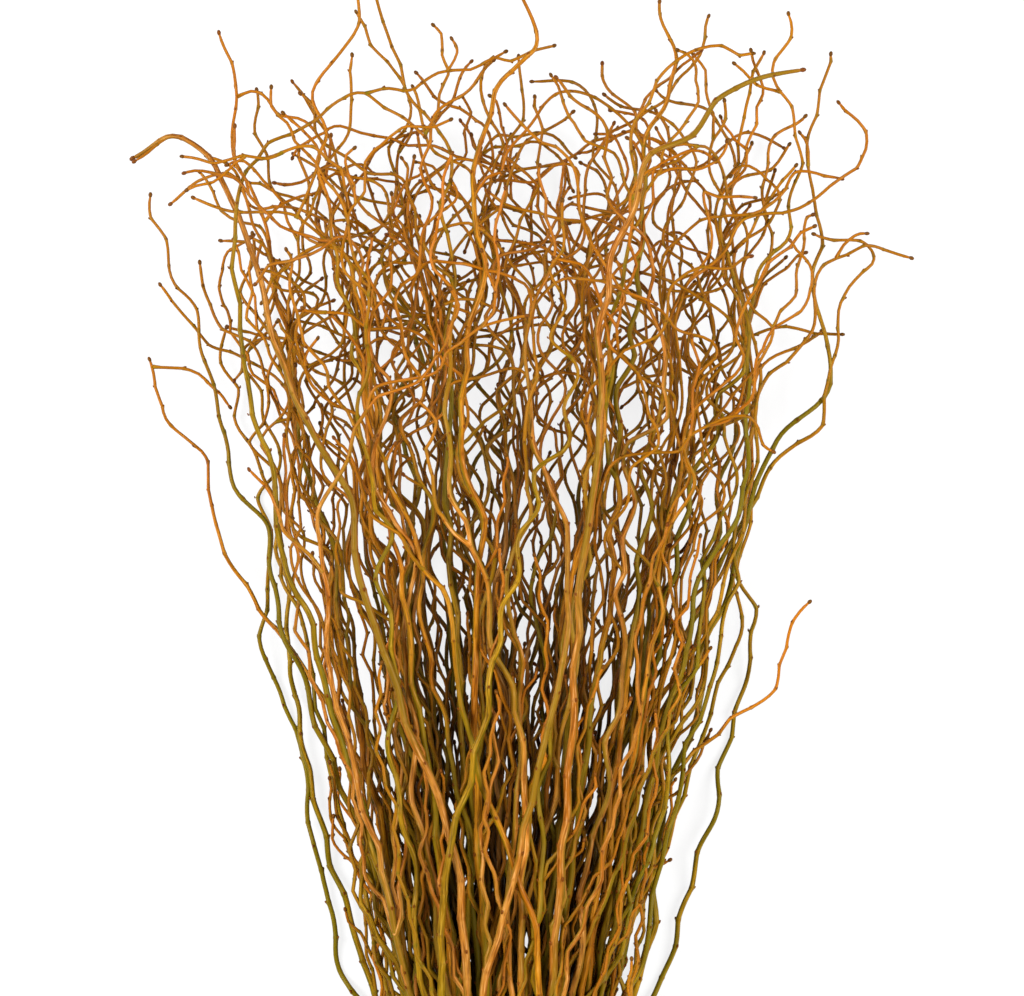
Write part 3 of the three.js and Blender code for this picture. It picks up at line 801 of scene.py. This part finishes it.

# %% [markdown]
# ## Bark
#
# Willow bark is smooth and satiny. Its colour runs in streaks along the stem, one side is greener
# than the other, thin young wood is redder, pale streaks are partly its own pink and partly painted
# highlight, and wood inside the pile is painted darker, as painted shade. The pattern follows the
# wood, because it reads the length along the stem and the place on its round section, as if the
# stem were pulled straight.

# %% Helpers for node trees
def linked(tree, value, socket):
    """Feeds a socket from another socket, or with a plain value."""
    if isinstance(value, bpy.types.NodeSocket):
        tree.links.new(value, socket)
    else:
        socket.default_value = value


def node(tree, kind, inputs=None, **settings):
    """A new node with its settings and inputs. Inputs are keyed by name or number."""
    made = tree.nodes.new(kind)
    for key, value in settings.items():
        setattr(made, key, value)
    for key, value in (inputs or {}).items():
        linked(tree, value, made.inputs[key])
    return made


def maths(tree, operation, a, b=0.0, c=0.0):
    made = node(tree, "ShaderNodeMath", operation=operation)
    for socket, value in zip(made.inputs, (a, b, c)):
        linked(tree, value, socket)
    return made.outputs[0]


def mixed(tree, share, a, b):
    made = node(tree, "ShaderNodeMix", data_type="RGBA")
    for key, value in ((0, share), (6, a), (7, b)):
        linked(tree, value, made.inputs[key])
    return made.outputs[2]


def mapped(tree, value, low, high, to_low=0.0, to_high=1.0):
    inputs = {"Value": value, "From Min": low, "From Max": high, "To Min": to_low, "To Max": to_high}
    return node(tree, "ShaderNodeMapRange", inputs).outputs[0]


def color(hex_code):
    """A colour code as light values, as the shader wants them."""
    parts = [int(hex_code[i : i + 2], 16) / 255 for i in (0, 2, 4)]
    return (*(p / 12.92 if p < 0.04045 else ((p + 0.055) / 1.055) ** 2.4 for p in parts), 1.0)


# %% Bark material
# Painted shade: the near black that bark deep inside the pile is darkened towards.
PAINTED_SHADE_COLOUR = "1c0c01"  # deep inside the pile
PITH = "8c6a3c"
FRESH_WOOD = "e3cfa0"


def bark_material(name, light, body, dark, shade_side, pale, young="925004", bud="4a1e04"):
    """Streaked satin bark with a greener side, redder young wood and dark buds, pale streaks that are
    partly painted highlight, and painted shade deep in the pile.
    """
    material, shader = shader_of(name)
    tree = material.node_tree

    def read(key, output="Fac"):
        return node(tree, "ShaderNodeAttribute", attribute_name=key).outputs[output]

    along, tone, thickness = read("along"), read("tone"), read("thickness")
    inputs = {0: read("ring", "Vector"), "Scale": thickness}
    ring = node(tree, "ShaderNodeVectorMath", inputs, operation="SCALE")
    apart = node(tree, "ShaderNodeSeparateXYZ", {0: ring.outputs[0]})
    offset = maths(tree, "MULTIPLY", tone, 7.3)

    def noise(stretch, scale, detail=3.0):
        """Noise on the straightened stem, drawn out along it by the stretch."""
        far = maths(tree, "ADD", maths(tree, "DIVIDE", along, stretch), offset)
        place = node(tree, "ShaderNodeCombineXYZ", {0: apart.outputs[0], 1: apart.outputs[1], 2: far})
        inputs = {"Vector": place.outputs[0], "Scale": scale, "Detail": detail}
        return node(tree, "ShaderNodeTexNoise", inputs).outputs["Fac"]

    streaks = noise(14, 900)
    patches = noise(5, 60, 2.0)
    grain = noise(2.5, 1500)
    greener = noise(30, 120, 1.0)
    base = mixed(tree, mapped(tree, patches, 0.38, 0.62), color(body), color(light))
    base = mixed(tree, mapped(tree, streaks, 0.48, 0.66, 0, 0.75), base, color(dark))
    # Pale pinkish streaks: partly the bark's own tone and partly painted highlight.
    base = mixed(tree, mapped(tree, streaks, 0.42, 0.32, 0, 0.5), base, color(pale))
    green_side = maths(tree, "ADD", greener, maths(tree, "MULTIPLY", tone, 0.12))
    base = mixed(tree, mapped(tree, green_side, 0.48, 0.62, 0, 0.8), base, color(shade_side))
    base = mixed(tree, mapped(tree, thickness, 1.9 * MM, 1.2 * MM, 0, 0.8), base, color(young))
    brightness = mapped(tree, tone, 0, 1, 0.8, 1.14)
    # Painted shade: bark deep inside the pile is darkened towards a near black, in place of the shadow
    # there.
    base = mixed(tree, maths(tree, "MULTIPLY", read("inner"), 0.9), base, color(PAINTED_SHADE_COLOUR))
    base = node(tree, "ShaderNodeHueSaturation", {"Color": base, "Value": brightness}).outputs[0]
    scarred = maths(tree, "MULTIPLY", read("scar"), 0.2)
    base = mixed(tree, mapped(tree, read("is_bud"), 0, 1, scarred, 0.75), base, color(bud))
    core = read("core")
    wood = mixed(tree, mapped(tree, core, 0.0, 0.3), color(PITH), color(FRESH_WOOD))
    rim = mixed(tree, mapped(tree, core, 0.86, 0.97), wood, base)
    tree.links.new(rim, shader.inputs["Base Color"])
    tree.links.new(mapped(tree, grain, 0.3, 0.7, 0.34, 0.5), shader.inputs["Roughness"])
    height = maths(tree, "ADD", maths(tree, "MULTIPLY", streaks, 0.7), maths(tree, "MULTIPLY", grain, 0.5))
    bump = node(tree, "ShaderNodeBump", {"Height": height, "Strength": 0.35, "Distance": 0.12 * MM})
    tree.links.new(bump.outputs[0], shader.inputs["Normal"])
    shader.inputs["Specular IOR Level"].default_value = 0.1
    shader.inputs["Specular Tint"].default_value = (1.0, 0.85, 0.65, 1.0)
    return material


# Each bark's last colour is its pale streak, partly its own pink tone and partly painted highlight.
bark = {
    "golden_bark": bark_material("golden_bark", "aa6e0c", "905204", "4e2202", "665804", "c08c48"),
    "olive_bark": bark_material("olive_bark", "906a0a", "705002", "3e2a02", "5a5002", "a68a3a"),
    "tan_bark": bark_material("tan_bark", "a66e28", "90520c", "562604", "6e5608", "cc9c66"),
}
print("barks:", list(bark))

# %% [markdown]
# ## Round wood with Geometry Nodes
#
# The tree turns the skeleton's edges into curves and sweeps a circle along them, as wide as the
# thickness at each point. The circle's own points give the place on the round section, which the
# bark reads. A small pointed bud is set on every loose point and turned along its stored way. The
# buds are copies, so the tree makes them real before it paints the wood.

# %% Helpers for geometry trees
def new_tree(name, sockets):
    """A geometry tree with its input and output, and the identifiers of its named inputs."""
    tree = bpy.data.node_groups.new(name, "GeometryNodeTree")
    tree.interface.new_socket("Geometry", in_out="OUTPUT", socket_type="NodeSocketGeometry")
    tree.interface.new_socket("Geometry", in_out="INPUT", socket_type="NodeSocketGeometry")
    names = {}
    for label, kind in sockets.items():
        socket = tree.interface.new_socket(label, in_out="INPUT", socket_type=kind)
        names[label] = socket.identifier
    return tree, names, tree.nodes.new("NodeGroupInput"), tree.nodes.new("NodeGroupOutput")


def named(tree, key, kind="FLOAT"):
    made = tree.nodes.new("GeometryNodeInputNamedAttribute")
    made.data_type = kind
    made.inputs["Name"].default_value = key
    return next(socket for socket in made.outputs if socket.enabled and socket.name == "Attribute")


def round_section(tree, sides):
    """A circle to sweep, which stores its own points as the place on the round section."""
    circle = node(tree, "GeometryNodeCurvePrimitiveCircle", {"Resolution": sides, "Radius": 1.0})
    place = tree.nodes.new("GeometryNodeInputPosition")
    inputs = {"Geometry": circle.outputs["Curve"], "Name": "ring"}
    kind = {"data_type": "FLOAT_VECTOR", "domain": "POINT"}
    section = node(tree, "GeometryNodeStoreNamedAttribute", inputs, **kind)
    linked(tree, place.outputs[0], section.inputs["Value"])
    return section.outputs[0]


def paint(tree, geometry, material, result):
    """Ends a tree: its copies are made real, shaded smooth and given their material."""
    real = node(tree, "GeometryNodeRealizeInstances", {"Geometry": geometry})
    smooth = node(tree, "GeometryNodeSetShadeSmooth", {"Geometry": real.outputs[0]})
    inputs = {"Geometry": smooth.outputs[0], "Material": material}
    linked(tree, node(tree, "GeometryNodeSetMaterial", inputs).outputs[0], result.inputs[0])


print("helpers for trees:", [helper.__name__ for helper in (new_tree, named, round_section, paint)])

# %% The wood tree
wood_tree, wood_sockets, given, result = new_tree(
    "round_wood", {"Sides": "NodeSocketInt", "Bud Sides": "NodeSocketInt", "Bark": "NodeSocketMaterial"}
)
skeleton_in = given.outputs["Geometry"]
curves = node(wood_tree, "GeometryNodeMeshToCurve", {"Mesh": skeleton_in})
wood = node(wood_tree, "GeometryNodeCurveToMesh", {
    "Curve": curves.outputs["Curve"],
    "Profile Curve": round_section(wood_tree, given.outputs["Sides"]),
    "Scale": named(wood_tree, "thickness"),
    "Fill Caps": True,
})
bud = node(wood_tree, "GeometryNodeMeshUVSphere", {
    "Segments": given.outputs["Bud Sides"],
    "Rings": 4,
    "Radius": 1.0,
})
bud_way = named(wood_tree, "bud_way", "FLOAT_VECTOR")
turned = node(wood_tree, "FunctionNodeAlignRotationToVector", {"Vector": bud_way}, axis="Z")
buds = node(wood_tree, "GeometryNodeInstanceOnPoints", {
    "Points": skeleton_in,
    "Instance": bud.outputs["Mesh"],
    "Selection": named(wood_tree, "is_bud"),
    "Rotation": turned.outputs[0],
    "Scale": named(wood_tree, "bud_scale", "FLOAT_VECTOR"),
})
joined = wood_tree.nodes.new("GeometryNodeJoinGeometry")
wood_tree.links.new(wood.outputs[0], joined.inputs[0])
wood_tree.links.new(buds.outputs[0], joined.inputs[0])
paint(wood_tree, joined.outputs[0], given.outputs["Bark"], result)
print("wood tree nodes:", len(wood_tree.nodes))

# %% Growing every stem
STEM_SIDES = 8
BUD_SIDES = 6
slot_of = {part["node"]: part["material_slot"] for part in frame["record"]["subparts"]}
scene = bpy.context.scene


def grown(name, mesh, tree, identifiers, values):
    """A plain mesh object from a skeleton and a tree, with the tree's inputs set by identifier."""
    source = bpy.data.objects.new(name + "_source", mesh)
    scene.collection.objects.link(source)
    modifier = source.modifiers.new("growth", "NODES")
    modifier.node_group = tree
    for label, value in values.items():
        modifier[identifiers[label]] = value
    evaluated = source.evaluated_get(bpy.context.evaluated_depsgraph_get())
    made = bpy.data.objects.new(name, bpy.data.meshes.new_from_object(evaluated))
    bpy.data.objects.remove(source)
    scene.collection.objects.link(made)
    return made


def finished(piece, solid):
    """Puts a piece in the place of its solid, and counts its triangles."""
    piece.data.calc_loop_triangles()
    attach(piece, "root")
    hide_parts(solid)
    return len(piece.data.loop_triangles)


triangles = 0
for name, skeleton in skeletons.items():
    values = {"Sides": STEM_SIDES, "Bud Sides": BUD_SIDES, "Bark": bark[slot_of[name]]}
    stem = grown("grown_" + name, skeleton.mesh(name), wood_tree, wood_sockets, values)
    triangles += finished(stem, name)
print("stems:", len(skeletons), "triangles:", triangles)

# %% [markdown]
# ## Twine
#
# The bunch is tied with plant-fibre twine: a few tight turns side by side, with the ends pushed under
# them. Each turn is three thin strands laid round each other, so the tree repeats the path three
# times and winds each copy round it.

# %% Path of the twine
TWINE_RADIUS = 1.6 * MM
TURNS = 5
PATH_POINTS = 60  # for each turn
TUCK_DEPTH = 4 * MM
TUCK_TURN = 0.35  # in radians


def twine_path():
    """Turns side by side round the stems, with both ends tucked under them."""
    inner = tie_radius - TWINE_RADIUS * 1.05
    width = (tie_high[1] - tie_low[1]) - 2 * TWINE_RADIUS
    share = np.linspace(0, 1, TURNS * PATH_POINTS)
    angle = share * TURNS * 2 * math.pi - math.pi / 2
    tuck = np.minimum(share, 1 - share) * TURNS * 2 * math.pi
    reach = inner - TUCK_DEPTH * np.clip(1 - tuck / TUCK_TURN, 0, 1)
    sideways = tie_middle[0] + reach * np.cos(angle)
    upwards = tie_middle[2] + reach * np.sin(angle)
    return np.stack([sideways, tie_low[1] + TWINE_RADIUS + share * width, upwards], axis=1)


path = twine_path()
print("twine in mm:", round(float(np.linalg.norm(np.diff(path, axis=0), axis=1).sum()) / MM))

# %% The twine tree
STRAND_SIDES = 7
STRAND_STEP = 1.6 * MM
twine_tree, twine_sockets, given, result = new_tree("laid_twine", {
    "Strands": "NodeSocketInt",
    "Strand Radius": "NodeSocketFloat",
    "Lay Radius": "NodeSocketFloat",
    "Pitch": "NodeSocketFloat",
    "Fibre": "NodeSocketMaterial",
})
strands, pitch = given.outputs["Strands"], given.outputs["Pitch"]
curves = node(twine_tree, "GeometryNodeMeshToCurve", {"Mesh": given.outputs["Geometry"]})
inputs = {"Curve": curves.outputs[0], "Length": STRAND_STEP}
evened = node(twine_tree, "GeometryNodeResampleCurve", inputs, mode="LENGTH")
inputs = {"Geometry": evened.outputs[0], "Amount": strands}
copies = node(twine_tree, "GeometryNodeDuplicateElements", inputs, domain="SPLINE")

length = twine_tree.nodes.new("GeometryNodeSplineParameter").outputs["Length"]
copy_turn = maths(twine_tree, "MULTIPLY", copies.outputs["Duplicate Index"], 2 * math.pi)
copy_turn = maths(twine_tree, "DIVIDE", copy_turn, strands)
length_turn = maths(twine_tree, "MULTIPLY", length, 2 * math.pi)
length_turn = maths(twine_tree, "DIVIDE", length_turn, pitch)
laid = maths(twine_tree, "ADD", length_turn, copy_turn)
normal = twine_tree.nodes.new("GeometryNodeInputNormal").outputs["Normal"]
tangent = twine_tree.nodes.new("GeometryNodeInputTangent").outputs[0]
turned = node(twine_tree, "ShaderNodeVectorRotate", {"Vector": normal, "Axis": tangent, "Angle": laid})
inputs = {0: turned.outputs[0], "Scale": given.outputs["Lay Radius"]}
offset = node(twine_tree, "ShaderNodeVectorMath", inputs, operation="SCALE")
inputs = {"Geometry": copies.outputs[0], "Offset": offset.outputs[0]}
moved = node(twine_tree, "GeometryNodeSetPosition", inputs)
inputs = {"Geometry": moved.outputs[0], "Name": "along"}
stored = node(twine_tree, "GeometryNodeStoreNamedAttribute", inputs, data_type="FLOAT", domain="POINT")
linked(twine_tree, length, stored.inputs["Value"])
tube = node(twine_tree, "GeometryNodeCurveToMesh", {
    "Curve": stored.outputs[0],
    "Profile Curve": round_section(twine_tree, STRAND_SIDES),
    "Scale": given.outputs["Strand Radius"],
    "Fill Caps": True,
})
paint(twine_tree, tube.outputs[0], given.outputs["Fibre"], result)
print("twine tree nodes:", len(twine_tree.nodes))

# %% Fibre and the finished twine
fibre, fibre_shader = shader_of("plant_fibre", roughness=0.92)
tree = fibre.node_tree
ring = node(tree, "ShaderNodeAttribute", attribute_name="ring")
apart = node(tree, "ShaderNodeSeparateXYZ", {0: ring.outputs["Vector"]})
length = node(tree, "ShaderNodeAttribute", attribute_name="along")
far = maths(tree, "MULTIPLY", length.outputs["Fac"], 90.0)
fibre_place = node(tree, "ShaderNodeCombineXYZ", {0: apart.outputs[0], 1: apart.outputs[1], 2: far})
inputs = {"Vector": fibre_place.outputs[0], "Scale": 4.0, "Detail": 4.0}
fibres = node(tree, "ShaderNodeTexNoise", inputs).outputs["Fac"]
shade = mixed(tree, mapped(tree, fibres, 0.35, 0.65), color("8a6a3e"), color("c9ad7a"))
tree.links.new(shade, fibre_shader.inputs["Base Color"])
fibre_bump = node(tree, "ShaderNodeBump", {"Height": fibres, "Strength": 0.6, "Distance": 0.3 * MM})
tree.links.new(fibre_bump.outputs[0], fibre_shader.inputs["Normal"])

STRANDS = 3
STRAND_RADIUS = 0.82 * MM
LAY_RADIUS = 0.76 * MM  # from the path to the middle of a strand
LAY_PITCH = 11 * MM  # for one turn of the strands round each other
thread = bpy.data.meshes.new("twine_path")
thread.from_pydata([tuple(p) for p in path], [(i, i + 1) for i in range(len(path) - 1)], [])
twine = grown("wound_twine", thread, twine_tree, twine_sockets, {
    "Strands": STRANDS,
    "Strand Radius": STRAND_RADIUS,
    "Lay Radius": LAY_RADIUS,
    "Pitch": LAY_PITCH,
    "Fibre": fibre,
})
print("twine triangles:", finished(twine, "twine_tie"))

# %% [markdown]
# ## Sizes
#
# The grown bunch has to fill the same box as the solids, so both boxes are written down.

# %% Print both boxes and finish
low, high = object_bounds()
boxes = {"cad": [list(cad_low), list(cad_high)], "visual": [list(low), list(high)]}
for key, corners in boxes.items():
    print(key, "box in mm:", [[round(v / MM, 1) for v in corner] for corner in corners])
